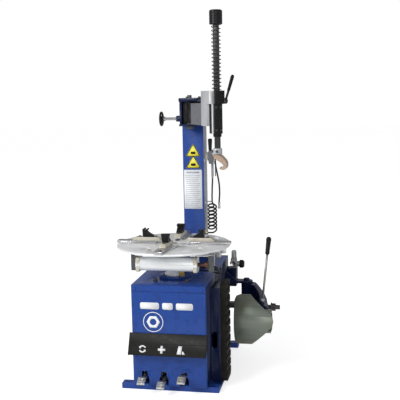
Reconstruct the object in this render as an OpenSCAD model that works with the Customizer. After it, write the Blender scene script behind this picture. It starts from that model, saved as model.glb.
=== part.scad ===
// Swing-arm tyre changer with a four-jaw turntable, a side bead breaker and three pedals.
// Frame: origin on the floor under the turntable axis, +X to the right seen from the front,
// +Y towards the back, +Z up. All lengths are in millimetres.

/* [Cabinet] */
// Left side of the cabinet
cab_left = -183; // [-200:1:-175]
// Right side of the cabinet
cab_right = 207; // [205:1:209]
// Front of the cabinet
cab_front = -218; // [-222:1:-214]
// Back of the cabinet's base
cab_back = 567; // [560:1:580]
// Height of the cabinet's top panel
cab_top = 560; // [558:1:562]
// Thickness of the sheet steel
sheet = 3; // [2:0.5:4]
// Height of the base channels
base_h = 30; // [28:1:40]
// Radius of the cabinet's upright corners
corner_r = 10; // [6:1:16]

/* [Turntable] */
// Radius of the turntable
disc_r = 300; // [290:1:310]
// Height of the turntable's upper face
disc_top = 740; // [738:1:742]
// Thickness of the turntable plate
disc_t = 12; // [10:1:14]
// Distance of the clamping jaws from the axis
jaw_r = 142; // [138:1:150]
// Height of the clamping cylinders' axes
clamp_z = 668; // [664:1:672]
// Radius of the clamping cylinders
clamp_r = 35; // [30:1:36]

/* [Column] */
// Middle of the column from left to right
col_x = 35; // [30:1:40]
// Width of the column
col_w = 120; // [110:1:124]
// Front face of the column
col_front = 400; // [398:1:404]
// Depth of the column
col_d = 110; // [100:1:116]
// Height of the column's upper end
col_top = 1354; // [1350:1:1358]

/* [Swing arm] */
// Pivot axis of the swing arm, from left to right
pivot_x = 30; // [28:1:34]
// Pivot axis of the swing arm, from front to back
pivot_y = 350; // [348:1:354]
// Shaft axis, from left to right
shaft_x = 242; // [240:1:244]
// Shaft axis, from front to back
shaft_y = 10; // [8:1:12]
// Height of the arm's beam
arm_h = 115; // [105:1:117]
// Width across the hexagonal shaft's flats
hex_af = 28; // [26:1:29]
// Height of the shaft's upper cap
cap_top = 1943; // [1935:1:1950]
// Number of turns in the return spring
spring_turns = 17; // [14:1:18]
// Height of the mount head's lower tip
head_low = 1130; // [1125:1:1140]

/* [Bead breaker] */
// Hinge axis of the breaker arm, from left to right
hinge_x = 330; // [328:1:334]
// Hinge axis of the breaker arm, from front to back
hinge_y = 450; // [448:1:452]
// Rod axis, from front to back
rod_y = 250; // [248:1:252]
// Rod axis height
rod_z = 337; // [335:1:340]
// Radius of the breaker cylinder
breaker_r = 90; // [80:1:92]
// Radius of the blade's curve
blade_r = 170; // [165:1:180]

/* [Hoses] */
// Outer diameter of the spiral hose
coil_d = 56; // [50:1:58]
// Diameter of the air hoses
hose_d = 9; // [8:0.5:10]

/* [Hidden] */
$fn = 64;

// Gap between pieces that slide or swing past each other
gap = 0.4;
// Radial clearance of a running fit
run = 0.05;
// Small extra length of a cutting solid
e = 1;

// Colours
BLUE = [0.12, 0.22, 0.62];
NAVY = [0.06, 0.08, 0.20];
BLACK = [0.06, 0.06, 0.06];
RUBBER = [0.10, 0.10, 0.08];
STEEL = [0.75, 0.76, 0.78];
GREY = [0.55, 0.56, 0.58];
CREAM = [0.80, 0.78, 0.70];
BRONZE = [0.42, 0.30, 0.20];
BRASS = [0.78, 0.62, 0.28];

// Cabinet
shell_back = cab_back - 8;
flange_left = -250;
flange_right = 265;
flange_front = -201;
rail_w = 50;
side_rail_w = 20;
anchor_x = [-228, 243];
anchor_y = [-176, 540];
anchor_r = 7;
pedal_x = [-120, -19, 88];
axle_y = -60;
axle_z = 74;
slot_w = [30, 48];
slot_top = 106;
top_hole_r = 62;
support_right = 258;
support_back = 80;
rod_hole = [26, 74];
side_x = cab_left - sheet;

// Drive under the cabinet's top panel
belt_y = -140;
worm_x = -100;
worm_z = 482;
motor_x = -30;
motor_z = 236;
worm_pulley_r = 50;
motor_pulley_r = 30;

// Turntable
disc_low = disc_top - disc_t;
jaw_angles = [180, -93, 87, 0];
slide_w = 44;
jaw_w = 36;
nose_w = 26;
lug_r = [152, 222];
lug_t = 28;
barrel_l = 317;
slide_z = disc_top + gap;
clamp_y = 187;
spindle_r = 24;

// Swing arm
arm_low = 1356;
arm_angle = atan2(shaft_y - pivot_y, shaft_x - pivot_x);
arm_len = norm([shaft_x - pivot_x, shaft_y - pivot_y]);
head_top = 1537;
head_bottom = 1309;
cap_low = 1870;
hex_cut = hex_af + 2 * 0.3;
pin_r = 17;
bracket_low = 1354;
bracket_top = 1500;
plate_t = 20;
low_plate_t = 10;
bracket_x = [-24, 84];
screw_r = 8;
head_x = [-95, -17, 18];
screw_y = 380;
screw_z = 1384;
screw_tip = -3;

// Bead breaker
hinge_r = 15;
trunnion_x = -50;
trunnion_r = 10;
barrel_x = -26;
blade_pin = [486, 115];
blade_z = 303;
blade_front = 36;

// Air supply and inflator
air_y = 525;
air_z = 517;
coil_x = 136;
coil_y = 430;
coil_low = 719;
coil_high = 896;
coil_turn_r = coil_d / 2 - hose_d / 2;
lead_route = [[136, 430, 896], [136, 430, 915], [136, 429, 935], [137, 428, 955], [138, 426, 975],
              [139, 424, 995], [141, 422, 1015], [142, 420, 1040]];
delivery_route = [[163, 401, 1160], [163, 400, 1140], [165, 400, 1115], [169, 400, 1090],
                  [174, 400, 1065], [179, 399, 1040], [183, 398, 1015], [185, 398, 990],
                  [186, 398, 965], [185, 398, 940], [183, 399, 920], [182, 400, 905]];

function arc(cx, cy, r, a0, a1, n) = [for (i = [0:n]) let (a = a0 + (a1 - a0) * i / n)
    [cx + r * cos(a), cy + r * sin(a)]];

// A flat rectangle with round corners, given by its two opposite corners
module rounded(x0, y0, x1, y1, r) {
    translate([x0 + r, y0]) square([x1 - x0 - 2 * r, y1 - y0]);
    translate([x0, y0 + r]) square([x1 - x0, y1 - y0 - 2 * r]);
    for (x = [x0 + r, x1 - r], y = [y0 + r, y1 - r]) translate([x, y]) circle(r);
}

// A box given by its two opposite corners
module block(a, b) { translate(a) cube(b - a); }

// A round bar along X, Y or Z from a point
module bar_x(p, r, l) { translate(p) rotate([0, 90, 0]) cylinder(r = r, h = l); }
module bar_y(p, r, l) { translate(p) rotate([-90, 0, 0]) cylinder(r = r, h = l); }
module bar_z(p, r, l) { translate(p) cylinder(r = r, h = l); }

// A hexagonal bar along Z, given by its width across flats
module hexagon(af, h) { cylinder(r = af / 2 / cos(30), h = h, $fn = 6); }

// A bolt head with a washer on a face at z = 0, pointing up
module bolt(af, h) {
    cylinder(r = af * 0.75, h = 2);
    translate([0, 0, 2]) hexagon(af, h - 2);
}

module base_frame() {
    color(NAVY) difference() {
        union() {
            block([flange_left, flange_front, 0], [flange_right, flange_front + rail_w, base_h]);
            block([flange_left, cab_back - rail_w, 0], [flange_right, cab_back, base_h]);
            block([cab_left, flange_front, 0], [cab_right, cab_back, 6]);
            block([cab_left, flange_front, 0], [cab_left + side_rail_w, cab_back, base_h]);
            block([cab_right - side_rail_w, flange_front, 0], [cab_right, cab_back, base_h]);
            block([cab_right, flange_front, 0], [flange_right, support_back, 14]);
        }
        for (x = anchor_x, y = anchor_y) bar_z([x, y, -e], anchor_r, base_h + 2 * e);
    }
}

module cabinet_shell() {
    color(BLUE) difference() {
        translate([0, 0, base_h]) linear_extrude(cab_top - base_h)
            rounded(cab_left, cab_front, cab_right, shell_back, corner_r);
        translate([0, 0, base_h - e]) linear_extrude(cab_top - base_h - sheet + e)
            rounded(cab_left + sheet, cab_front + sheet, cab_right - sheet,
                    shell_back - sheet, corner_r - sheet);
        for (x = pedal_x) pedal_slot(x);
        bar_z([0, 0, cab_top - 10], top_hole_r, 20);
        block([cab_right - 10, rod_y - rod_hole[0], rod_z - 30],
              [cab_right + 10, rod_y + rod_hole[1], rod_z + 30]);
        block([cab_left - e, -130, 130], [cab_left + 10, 150, 480]);
    }
    // Bracket and pin that hold the bead breaker's cylinder
    color(BLUE) {
        for (z = [rod_z - 18 - gap - 8, rod_z + 18 + gap])
            block([cab_left + sheet, rod_y - 25, z], [trunnion_x + 14, rod_y + 25, z + 8]);
        bar_z([trunnion_x, rod_y, rod_z - 26], trunnion_r, 52);
    }
}

// A stepped opening in the cabinet's front panel, narrow above and wide below
module pedal_slot(x) {
    a = slot_w[0] / 2;
    b = slot_w[1] / 2;
    translate([x, cab_front + 20, 0]) rotate([90, 0, 0]) linear_extrude(40)
        polygon([[-b, base_h - e], [b, base_h - e], [b, slot_top - 38], [a, slot_top - 22],
                 [a, slot_top], [-a, slot_top], [-a, slot_top - 22], [-b, slot_top - 38]]);
}

module side_cover() {
    color(BLUE) difference() {
        translate([side_x, 0, 0]) rotate([90, 0, 90]) linear_extrude(sheet)
            rounded(-150, 115, 170, 495, 12);
        for (z = [200:30:410]) translate([side_x - e, -50, z]) cube([sheet + 2 * e, 120, 8]);
    }
}

module hood_cover() {
    top = [cab_front, 311];
    low = [cab_front - 52, 212];
    color(BLACK) {
        translate([-190, 0, 0]) rotate([90, 0, 90]) linear_extrude(399)
            polygon([top, [cab_front - 6, 311], low, [low[0] + 4, low[1] - 6],
                     [low[0] + 8, low[1] - 2], [low[0] + 5, low[1] + 3], [cab_front, 302]]);
        for (x = [-193, 209]) translate([x, 0, 0]) rotate([90, 0, 90]) linear_extrude(sheet)
            polygon([[cab_front, 313], [cab_front - 7, 313], [low[0] - 2, low[1]],
                     [low[0] + 2, low[1] - 9], [cab_front, 240]]);
    }
}

module wheel_support_box() {
    color(NAVY) difference() {
        block([cab_right, -80, 14], [support_right, support_back, 521]);
        block([cab_right - e, -80 + sheet, 14 - e],
              [support_right - sheet, support_back - sheet, 521 - sheet]);
        translate([225, -70, 0]) rotate([90, 0, 0]) linear_extrude(20) {
            translate([-14, 213]) square([28, 58]);
            for (z = [213, 271]) translate([0, z]) circle(14);
        }
    }
}

module rubber_pad() {
    color(RUBBER) difference() {
        translate([support_right, 0, 0]) rotate([90, 0, 90]) linear_extrude(32)
            rounded(-80, 15, 60, 545, 24);
        for (z = [60:44:500]) translate([support_right + 27, -90, z]) cube([10, 160, 12]);
    }
}

// ---- Pedals and drive -------------------------------------------------------

module pedal_frame() {
    color(GREY) {
        difference() {
            union() {
                for (x = [-162, -64, 26, 124]) block([x, -90, 6], [x + 6, 20, 112]);
                block([-156, -20, 6], [124, -14, 30]);
            }
            bar_x([-170, axle_y, axle_z], 8, 310);
        }
        bar_x([-166, axle_y, axle_z], 8, 300);
        for (x = pedal_x) block([x - 22, 24, 6], [x + 22, 60, 100]);
    }
}

// A pedal: a bored hub on the axle, a flat lever through the slot and a tread pad
module pedal(x, tip_z) {
    tip_y = -262;
    color(STEEL) difference() {
        union() {
            bar_x([x - 15, axle_y, axle_z], 16, 30);
            translate([x - 6, 0, 0]) rotate([90, 0, 90]) linear_extrude(12)
                polygon([[axle_y + 14, axle_z - 10], [axle_y + 14, axle_z + 10],
                         [tip_y, tip_z + 10], [tip_y - 8, tip_z - 8], [tip_y + 6, tip_z - 12]]);
            translate([x - 21, 0, 0]) rotate([90, 0, 90]) linear_extrude(42)
                polygon([[tip_y + 6, tip_z + 16], [tip_y - 10, tip_z + 17], [tip_y - 44, tip_z - 4],
                         [tip_y - 47, tip_z - 11], [tip_y - 40, tip_z - 11],
                         [tip_y - 37, tip_z - 8], [tip_y - 8, tip_z + 9], [tip_y + 6, tip_z + 8]]);
        }
        bar_x([x - 20, axle_y, axle_z], 8 + run, 40);
    }
}

module pedal_left() { pedal(pedal_x[0], 76); }
module pedal_middle() { pedal(pedal_x[1], 58); }
module pedal_right() { pedal(pedal_x[2], 90); }

module gearbox_housing() {
    color(GREY) difference() {
        union() {
            block([-125, -100, 428], [100, 100, cab_top - sheet]);
            bar_z([0, 0, cab_top - sheet], 55, sheet);
            for (y = [-76, 40]) block([motor_x - 40, y, motor_z + 84], [motor_x + 40, y + 16, 428]);
        }
        bar_z([0, 0, 450], 84, 72);
        bar_z([0, 0, 440], spindle_r + run, 140);
        bar_y([worm_x, -90, worm_z], 20, 180);
        bar_y([worm_x, -110, worm_z], 12 + run, 220);
    }
}

module worm_shaft() {
    color(STEEL) {
        bar_y([worm_x, belt_y - 12, worm_z], 12, 242);
        bar_y([worm_x, -80, worm_z], 15, 160);
        translate([worm_x, belt_y, worm_z]) pulley(worm_pulley_r);
    }
}

// A V-belt pulley about the Y axis, centred on y = 0
module pulley(r) {
    for (s = [-1, 1]) translate([0, s * 9, 0]) rotate([90, 0, 0])
        cylinder(r = r + 6, h = 5, center = true);
    rotate([90, 0, 0]) cylinder(r = r, h = 14, center = true);
}

module motor() {
    color(GREY) difference() {
        union() {
            bar_y([motor_x, -105, motor_z], 70, 195);
            for (y = [-105, 70]) bar_y([motor_x, y, motor_z], 76, 20);
            block([motor_x - 50, -80, motor_z + 50], [motor_x + 50, 60, motor_z + 84]);
        }
        bar_y([motor_x, -110, motor_z], 11 + run, 60);
    }
}

module motor_pulley() {
    color(STEEL) {
        bar_y([motor_x, belt_y - 10, motor_z], 11, 75);
        translate([motor_x, belt_y, motor_z]) pulley(motor_pulley_r);
    }
}

// The belt's outline at a distance from the pulleys' grooves
function belt_outline(off) =
    let (dx = worm_x - motor_x, dz = worm_z - motor_z, phi = atan2(dz, dx),
         lap = acos((motor_pulley_r - worm_pulley_r) / norm([dx, dz])))
    concat(arc(worm_x, worm_z, worm_pulley_r + off, phi - lap, phi + lap, 30),
           arc(motor_x, motor_z, motor_pulley_r + off, phi + lap, phi + 360 - lap, 24));

module v_belt() {
    color(BLACK) translate([0, belt_y + 6, 0]) rotate([90, 0, 0]) linear_extrude(12) difference() {
        polygon(belt_outline(8));
        polygon(belt_outline(gap));
    }
}

// ---- Turntable ----------------------------------------------------------------

module hub_housing() {
    color(STEEL) difference() {
        union() {
            bar_z([0, 0, cab_top], 80, 10);
            bar_z([0, 0, cab_top], 50, 22);
            bar_z([0, 0, cab_top], 40, 76);
            bar_x([36, -12, 596], 9, 26);
            translate([44, -12, 596]) rotate([0, 90, 0]) hexagon(24, 12);
        }
        bar_z([0, 0, cab_top - e], spindle_r + run, 80);
        bar_z([0, 0, cab_top - e], 56, 1.2);
    }
}

module spindle() {
    color(STEEL) {
        bar_z([0, 0, 452], spindle_r, 264);
        bar_z([0, 0, 462], 78, 40);
        bar_z([0, 0, 690], 46, 38);
        bar_z([0, 0, 716], 66, 12);
        bar_z([0, 0, 728], 22, 10);
    }
}

module turntable_disc() {
    color(STEEL) difference() {
        bar_z([0, 0, disc_low], disc_r, disc_t);
        bar_z([0, 0, disc_low - e], 22, disc_t + 2 * e);
        for (a = jaw_angles) rotate(a) {
            block([72, -10, disc_low - e], [286, 10, disc_top + e]);
            for (x = [72, 286]) bar_z([x, 0, disc_low - e], 10, disc_t + 2 * e);
        }
        for (p = [[-106, -151], [50, -65], [160, -126], [202, 158]])
            bar_z([p[0], p[1], disc_low - e], 14, disc_t + 2 * e);
    }
}

// A jaw carrier that lies along +X, with its neck in the turntable's slot
module carrier() {
    block([92, -slide_w / 2, slide_z], [306, slide_w / 2, slide_z + 13]);
    block([jaw_r - 27, -9.6, disc_low - 6], [jaw_r + 27, 9.6, slide_z + 1]);
    block([jaw_r - 30, -26, 712], [jaw_r + 30, 26, disc_low - gap]);
}

// A cross arm under the turntable with a lug down to each clamping cylinder
module cross_arm(lug_r) {
    block([jaw_r - 14, -212, 712], [jaw_r + 14, 212, 724]);
    for (s = [-1, 1]) {
        block([jaw_r - 14, s * clamp_y - 14, 712], [lug_r + lug_t, s * clamp_y + 14, 724]);
        block([lug_r, s * clamp_y - 14, clamp_z - 16], [lug_r + lug_t, s * clamp_y + 14, 724]);
    }
}

module jaw_slide_a() { color(STEEL) rotate(jaw_angles[0]) { carrier(); cross_arm(lug_r[0]); } }
module jaw_slide_b() { color(STEEL) rotate(jaw_angles[1]) carrier(); }
module jaw_slide_c() { color(STEEL) rotate(jaw_angles[2]) carrier(); }
module jaw_slide_d() { color(STEEL) rotate(jaw_angles[3]) { carrier(); cross_arm(lug_r[1]); } }

// A jaw on its carrier: a long wedge-ended base and a hooked clamping nose
module jaw(angle) {
    color(CREAM) rotate(angle) translate([jaw_r, 0, slide_z + 13]) {
        translate([0, jaw_w / 2, 0]) rotate([90, 0, 0]) linear_extrude(jaw_w)
            polygon([[-76, 0], [80, 0], [80, 3], [64, 19], [-58, 19], [-76, 6]]);
        translate([0, nose_w / 2, 0]) rotate([90, 0, 0]) linear_extrude(nose_w)
            polygon([[-32, 16], [20, 16], [20, 57], [12, 60], [5, 48], [-14, 34], [-32, 22]]);
    }
}

module jaw_a() { jaw(jaw_angles[0]); }
module jaw_b() { jaw(jaw_angles[1]); }
module jaw_c() { jaw(jaw_angles[2]); }
module jaw_d() { jaw(jaw_angles[3]); }

// A clamping cylinder's barrel along +X, its closed end held by a lug at x0
module barrel(x0) {
    x1 = x0 + barrel_l;
    color(STEEL) difference() {
        union() {
            bar_x([x0, 0, 0], clamp_r, x1 - x0);
            for (x = [x0, x1 - 20]) bar_x([x, 0, 0], clamp_r + 3, 20);
        }
        bar_x([x0 + 16, 0, 0], 30, x1 - x0 - 32);
        bar_x([x1 - 20, 0, 0], 10 + run, 40);
    }
}

// The piston and rod of a clamping cylinder, with a rod end against the lug at x1
module piston_rod(x1) {
    piston_x = x1 - 262;
    color(STEEL) {
        bar_x([piston_x, 0, 0], 30 - run, 20);
        bar_x([piston_x, 0, 0], 10, x1 - piston_x);
        bar_x([x1 - 18, 0, 0], 20, 18);
    }
}

module front_barrel() { translate([0, -clamp_y, clamp_z]) barrel(-lug_r[0]); }
module front_rod() { translate([0, -clamp_y, clamp_z]) piston_rod(lug_r[1]); }
module rear_barrel() { rotate(180) translate([0, -clamp_y, clamp_z]) barrel(-lug_r[1]); }
module rear_rod() { rotate(180) translate([0, -clamp_y, clamp_z]) piston_rod(lug_r[0]); }

// ---- Column and swing arm -----------------------------------------------------

module column() {
    x0 = col_x - col_w / 2;
    color(BLUE) difference() {
        union() {
            block([x0, col_front, cab_top], [x0 + col_w, col_front + col_d, col_top]);
            block([x0 - 28, col_front - 20, cab_top], [x0 + col_w + 28, col_front + col_d + 20,
                                                       cab_top + 12]);
        }
        block([x0 + 4, col_front + 4, cab_top - e], [x0 + col_w - 4, col_front + col_d - 4,
                                                     col_top - 12]);
    }
}

module arm_bracket() {
    back = col_front + col_d;
    color(BLUE) difference() {
        union() {
            block([bracket_x[0], pivot_y - 45, bracket_low - low_plate_t],
                  [bracket_x[1], col_front, bracket_low]);
            block([bracket_x[0], pivot_y - 45, bracket_top - plate_t],
                  [bracket_x[1], back, bracket_top]);
            block([bracket_x[0], pivot_y + 46, bracket_low], [bracket_x[1], back, bracket_top]);
            block([bracket_x[0], pivot_y - 24, bracket_low], [-10, back, bracket_top]);
            bar_x([-54, screw_y, screw_z], 17, 32);
        }
        bar_z([pivot_x, pivot_y, bracket_low - 40], pin_r, 240);
        bar_x([-60, screw_y, screw_z], screw_r + run, 54);
    }
}

module pivot_pin() {
    color(STEEL) {
        bar_z([pivot_x, pivot_y, bracket_low - low_plate_t], pin_r, bracket_top - bracket_low
              + low_plate_t);
        translate([pivot_x, pivot_y, bracket_low - low_plate_t - 18]) hexagon(42, 18);
        translate([pivot_x, pivot_y, bracket_top]) hexagon(22, 16);
    }
}

module stop_screw() {
    color(STEEL) {
        bar_x([-150, screw_y, screw_z], screw_r, 150 + screw_tip);
        bar_x([-128, screw_y, screw_z], 13, 8);
    }
}

module handwheel() {
    color(BLACK) translate([-141, screw_y, screw_z]) rotate([0, 90, 0]) difference() {
        union() {
            rotate_extrude() translate([36, 0]) circle(6, $fn = 24);
            cylinder(r = 17, h = 16, center = true);
            for (a = [0:120:240]) rotate(a) translate([10, -5, -3]) cube([24, 10, 6]);
        }
        cylinder(r = screw_r + run, h = 40, center = true);
    }
}

// Draws its children in the arm's frame: +X from the pivot towards the shaft
module along_arm() { translate([pivot_x, pivot_y, 0]) rotate(arm_angle) children(); }

module swing_arm() {
    low = bracket_low + gap;
    high = bracket_top - plate_t - gap;
    color(GREY) along_arm() difference() {
        union() {
            bar_z([0, 0, low], 38, high - low);
            block([0, -28, arm_low], [arm_len + head_x[0], 28, arm_low + arm_h]);
        }
        bar_z([0, 0, low - e], pin_r + run, high - low + 2 * e);
        block([60, -22, arm_low + 6], [arm_len + head_x[0] - 16, 22, arm_low + arm_h - 6]);
    }
}

module arm_head() {
    color([0.85, 0.87, 0.88]) along_arm() difference() {
        union() {
            block([arm_len + head_x[0], -51, arm_low], [arm_len + head_x[1], 28, head_top]);
            block([arm_len + head_x[1], -51, 1470], [arm_len + head_x[2], 26, head_top]);
            block([arm_len + head_x[1], -37, 1318], [arm_len + head_x[2], 21, 1470]);
            bar_y([arm_len, 24, 1484], 16, 14);
        }
        translate([arm_len, 0, 1300]) hexagon(hex_cut, 300);
        bar_y([arm_len, 28, 1484], 6 + run, 30);
    }
}

module head_cover() {
    color(BLACK) along_arm() difference() {
        union() {
            block([arm_len + head_x[2], -26, 1318], [arm_len + 30, 17, 1470]);
            block([arm_len + head_x[2], -23, 1470], [arm_len + 38, 27, head_top]);
            bar_z([arm_len, 0, head_bottom], 22, 1318 - head_bottom);
        }
        translate([arm_len, 0, 1300]) hexagon(hex_cut + 2, 300);
    }
}

module lock_lever() {
    color(BLACK) along_arm() translate([arm_len, 38 + gap, 1484]) {
        bar_y([0, -10, 0], 6, 14);
        bar_y([0, 0, 0], 15, 18);
        translate([0, 10, 0]) rotate([-18, 0, 0]) {
            cylinder(r = 6, h = 70);
            translate([0, 0, 52]) cylinder(r = 9, h = 80);
            translate([0, 0, 132]) sphere(r = 9);
        }
    }
}

module hex_shaft() {
    color(GREY) difference() {
        translate([shaft_x, shaft_y, head_low + 112]) hexagon(hex_af, cap_low - head_low - 112);
        bar_z([shaft_x, shaft_y, head_low + 100], 5, 40);
    }
}

module shaft_cap() {
    color(BLACK) {
        bar_z([shaft_x, shaft_y, cap_low], 33.5, cap_top - cap_low - 8);
        bar_z([shaft_x, shaft_y, cap_top - 8], 29, 8);
    }
}

// The return spring: one wire of round section swept along a helix
module return_spring() {
    wire = 2.6;
    r = 22.4;
    sides = 6;
    steps = 14;
    count = spring_turns * steps;
    low = head_top + wire + 0.2;
    high = cap_low - wire - 0.2;
    points = [for (i = [0:count], j = [0:sides - 1])
        let (a = 360 * i / steps, b = 360 * j / sides, q = r + wire * cos(b))
        [shaft_x + q * cos(a), shaft_y + q * sin(a), low + (high - low) * i / count + wire * sin(b)]];
    walls = [for (i = [0:count - 1], j = [0:sides - 1]) let (k = (j + 1) % sides)
        [i * sides + j, (i + 1) * sides + j, (i + 1) * sides + k, i * sides + k]];
    ends = [[for (j = [0:sides - 1]) j], [for (j = [sides - 1:-1:0]) count * sides + j]];
    color(GREY) polyhedron(points, concat(walls, ends), convexity = 10);
}

// The mount head: a clamp collar under the shaft and a hooked finger that lifts the tyre's bead
module mount_head() {
    color(BRONZE) translate([shaft_x, shaft_y, head_low + 112]) difference() {
        union() {
            bar_z([0, 0, -46], 24, 46);
            translate([0, 34, 0]) rotate([90, 0, 0]) linear_extrude(68)
                polygon([[-20, -40], [18, -34], [38, -52], [50, -70], [52, -92], [44, -108],
                         [30, -112], [12, -104], [14, -97], [30, -98], [34, -86], [20, -72],
                         [-8, -56]]);
        }
        bar_z([0, 0, -30], 5, 40);
    }
}

// ---- Bead breaker ---------------------------------------------------------------

module bead_cylinder() {
    color(GREY) difference() {
        union() {
            bar_x([barrel_x, rod_y, rod_z], breaker_r, 206);
            for (x = [barrel_x, 164]) bar_x([x, rod_y, rod_z], breaker_r + 4, 16);
            bar_z([trunnion_x, rod_y, rod_z - 18], 20, 36);
            block([trunnion_x, rod_y - 20, rod_z - 18], [barrel_x + 2, rod_y + 20, rod_z + 18]);
        }
        bar_x([barrel_x + 12, rod_y, rod_z], breaker_r - 6, 182);
        bar_x([100, rod_y, rod_z], 12.5 + run, 100);
        bar_z([trunnion_x, rod_y, rod_z - 30], trunnion_r + run, 60);
    }
}

module bead_rod() {
    color(STEEL) {
        bar_x([barrel_x + 16, rod_y, rod_z], breaker_r - 6 - run, 20);
        bar_x([barrel_x + 16, rod_y, rod_z], 12.5, 550);
        bar_x([490, rod_y, rod_z], 25, 6);
        translate([496, rod_y, rod_z]) rotate([0, 90, 0]) hexagon(38, 20);
    }
}

module bead_arm_bracket() {
    color(NAVY) {
        for (z = [[284, 299.6], [425.4, 437]])
            block([cab_right, hinge_y - 35, z[0]], [hinge_x, hinge_y + 35, z[1]]);
        for (z = [[284, 299.6], [425.4, 437]]) bar_z([hinge_x, hinge_y, z[0]], 35, z[1] - z[0]);
        block([cab_right, hinge_y - 35, 284], [cab_right + 12, hinge_y + 35, 437]);
        bar_z([hinge_x, hinge_y, 284], hinge_r, 156);
        translate([hinge_x, hinge_y, 437]) hexagon(30, 13);
        translate([0, hinge_y - 25, 0]) rotate([90, 0, 0]) linear_extrude(10)
            polygon([[cab_right, 437], [cab_right, 490], [cab_right + 12, 490],
                     [hinge_x - 50, 437]]);
    }
}

// The arm bows outwards from its hinge to the blade's pin
module bead_arm() {
    color(NAVY) difference() {
        union() {
            bar_z([hinge_x, hinge_y, 300], 32, 125);
            intersection() {
                translate([0, 0, 260]) linear_extrude(180)
                    polygon([[330, 481], [362, 470], [400, 436], [440, 370], [462, 300],
                             [472, 240], [492, 170], [510, 122], [508, 98], [488, 90],
                             [464, 100], [446, 150], [434, 200], [430, 250], [412, 310],
                             [384, 370], [352, 410], [330, 420]]);
                translate([0, 500, 0]) rotate([90, 0, 0]) linear_extrude(420)
                    polygon([[300, 300], [300, 425], [384, 425], [520, 330], [520, 270],
                             [430, 270], [390, 300]]);
            }
            translate([450, 165, 370]) rotate([0, 6, 0]) cylinder(r = 11, h = 22);
        }
        bar_z([hinge_x, hinge_y, 290], hinge_r + run, 150);
        block([400, rod_y - 20, rod_z - 19], [500, rod_y + 36, rod_z + 19]);
        block([440, 60, blade_z + 43], [530, 150, 440]);
        bar_z([blade_pin[0], blade_pin[1], 250], 10 + run, 120);
        translate([450, 165, 370]) rotate([0, 6, 0]) cylinder(r = 6, h = 40);
    }
}

// The blade: a steel shield, bent about a level axis, with two lugs and a pin behind it
module bead_blade() {
    lug_x = [466, 508];
    color(GREY) {
        intersection() {
            translate([0, 140, 0]) rotate([90, 0, 0]) linear_extrude(140)
                polygon([[310, 190], [310, 420], [316, 434], [338, 441], [392, 441], [516, 345],
                         [522, 315], [516, 285], [400, 167], [330, 166], [314, 174]]);
            translate([300, blade_front + blade_r, blade_z]) rotate([0, 90, 0]) difference() {
                cylinder(r = blade_r, h = 240, $fn = 128);
                translate([0, 0, -e]) cylinder(r = blade_r - 8, h = 240 + 2 * e, $fn = 128);
            }
        }
        for (z = [blade_z - 43 - gap - 10, blade_z + 43 + gap])
            block([lug_x[0], blade_front + 12, z], [lug_x[1], blade_pin[1] + 20, z + 10]);
        bar_z([blade_pin[0], blade_pin[1], blade_z - 50], 10, 100);
    }
}

module bead_handle() {
    color(BLACK) translate([450, 165, 370]) rotate([0, 6, 0]) {
        cylinder(r = 6, h = 300);
        translate([0, 0, 285]) cylinder(r = 14, h = 85);
        translate([0, 0, 370]) sphere(r = 14);
    }
}

// ---- Air supply and inflator ------------------------------------------------------

module air_box() {
    color(NAVY) difference() {
        block([cab_right, 490, 387], [263, 560, 495]);
        block([cab_right + sheet, 490 + sheet, 387 + sheet], [263 - sheet, 560 + e, 495 - sheet]);
    }
}

module air_filter() {
    color(GREY) difference() {
        union() {
            block([228, 508, 495], [262, 542, 550]);
            bar_z([246, air_y, 550], 15, 42);
            bar_z([246, air_y, 592], 11, 6);
            bar_x([262, air_y, air_z], 17, 18);
            bar_y([245, 494, 524], 17, 14);
        }
        bar_y([245, 530, 524], 5.7, 12 + e);
    }
}

module regulator_knob() {
    color(BLACK) {
        bar_x([280 + gap, air_y, air_z], 23, 20);
        bar_x([300 + gap, air_y, air_z], 19, 6);
    }
}

module column_fittings() {
    side = col_x + col_w / 2;
    color(GREY) {
        block([side, 401, 708], [side + 6, 430, 738]);
        bar_x([side + 6, coil_y - coil_turn_r, coil_low + 5], 6.5, 12.5);
        block([side, 420, 888], [side + 4, 446, 918]);
        bar_x([side + 4, coil_y, 903], 3.5, coil_x - 5 - side - 4);
        block([side, 408, 1130], [side + 4, 440, 1196]);
        block([side + 4, 432, 1140], [150, 440, 1190]);
    }
}

module gun_body() {
    color(BLACK) {
        block([118, 408, 1120], [150, 432, 1199]);
        bar_z([131, 420, 1199], 12, 59);
        bar_z([131, 420, 1258], 9, 10);
        bar_z([142, 420, 1040], 7, 80);
        for (y = [407, 428.4]) block([149, y, 1122], [163, y + 3.6, 1138]);
        bar_y([157, 408, 1130], 3, 24);
        block([146, 409, 1176], [160, 417, 1196]);
        bar_y([163, 396, 1186], 20, 15);
        bar_z([163, 401, 1160], 6, 12);
    }
}

module gun_lever() {
    color(GREY) difference() {
        union() {
            bar_y([157, 412, 1130], 6, 16);
            block([158, 412, 1052], [162, 428, 1130]);
        }
        bar_y([157, 400, 1130], 3 + run, 40);
    }
}

// A closed tube swept along a list of points
module tube(route, r, sides) {
    n = len(route);
    function way(i) = let (d = route[min(i + 1, n - 1)] - route[max(i - 1, 0)]) d / norm(d);
    function side(i) = let (s = cross(way(i), [0, 1, 0])) s / norm(s);
    points = [for (i = [0:n - 1], j = [0:sides - 1])
        let (a = 360 * j / sides, s = side(i), u = cross(s, way(i)))
        route[i] + r * (cos(a) * s + sin(a) * u)];
    walls = [for (i = [0:n - 2], j = [0:sides - 1]) let (k = (j + 1) % sides)
        [i * sides + j, i * sides + k, (i + 1) * sides + k, (i + 1) * sides + j]];
    ends = [[for (j = [sides - 1:-1:0]) j], [for (j = [0:sides - 1]) (n - 1) * sides + j]];
    polyhedron(points, concat(walls, ends), convexity = 10);
}

module supply_coil() {
    color(BLACK) translate([coil_x, coil_y, coil_low]) rotate_extrude()
        square([coil_d / 2, coil_high - coil_low]);
}

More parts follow.
